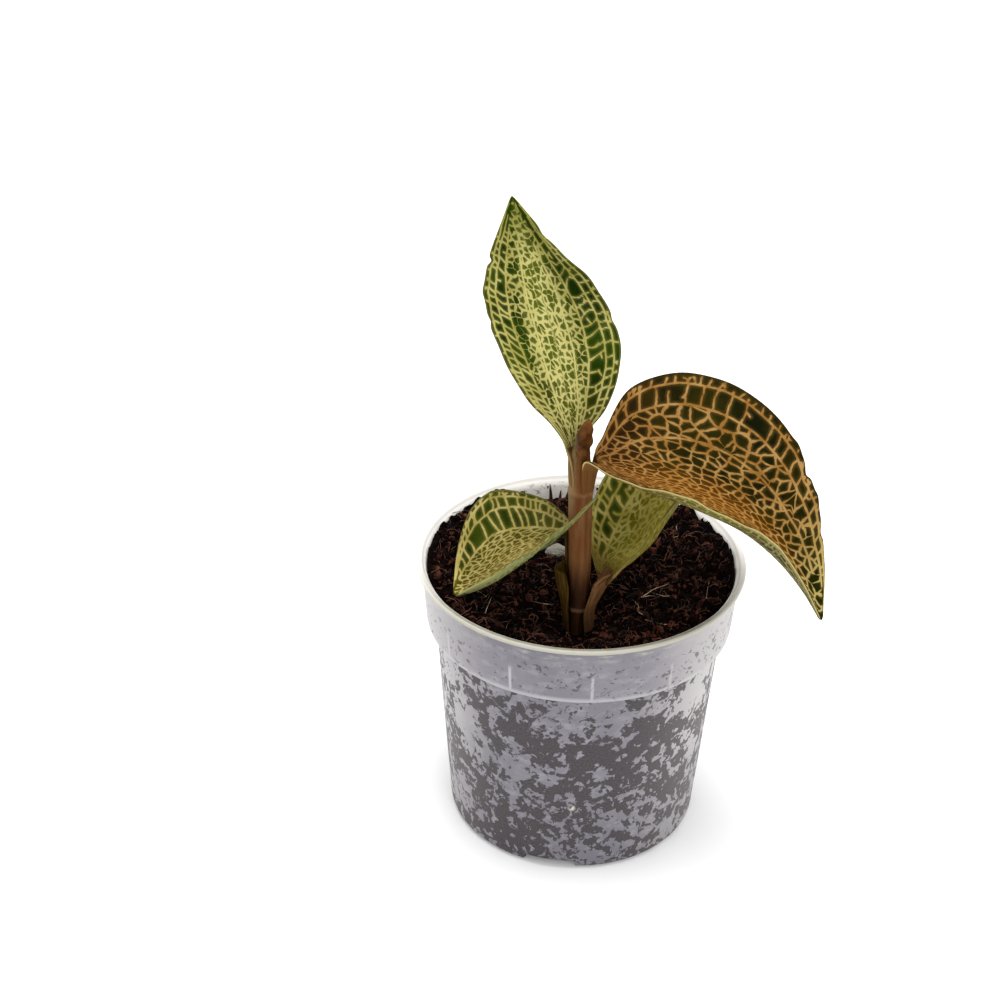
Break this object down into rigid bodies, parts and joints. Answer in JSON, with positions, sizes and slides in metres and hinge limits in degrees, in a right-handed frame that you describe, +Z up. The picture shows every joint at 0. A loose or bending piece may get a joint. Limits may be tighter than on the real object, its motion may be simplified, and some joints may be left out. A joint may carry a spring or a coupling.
{
  "type": "potted jewel orchid",
  "caption": "Small potted jewel orchid: frosted nursery pot filled with coir soil, one upright stem and broad net-veined leaves that clasp it.",
  "frame": {"origin": "on the pot's axis, in the plane of its underside, which stands on the table", "axes": "+Z up along the pot's axis, -Y towards the front of the plant as it is usually seen, +X to its right"},
  "size_m": [0.0729, 0.0604, 0.1226],
  "materials": {
    "pot": "thin frosted translucent plastic, soft gloss",
    "soil": "loose damp coir and peat",
    "perlite": "chalky expanded mineral grain",
    "stem": "smooth red-brown plant skin",
    "leaf_green": "velvety green blade with a pale net of veins",
    "leaf_bronze": "velvety dark green-brown blade with a golden net of veins"
  },
  "bodies": {
    "root": {"pot": "pot", "soil": "soil", "perlite_grain": "perlite", "stem": "stem", "leaf_upper": "leaf_green", "leaf_right": "leaf_bronze", "leaf_left": "leaf_green", "leaf_lower_right": "leaf_green"}
  },
  "joints": []
}
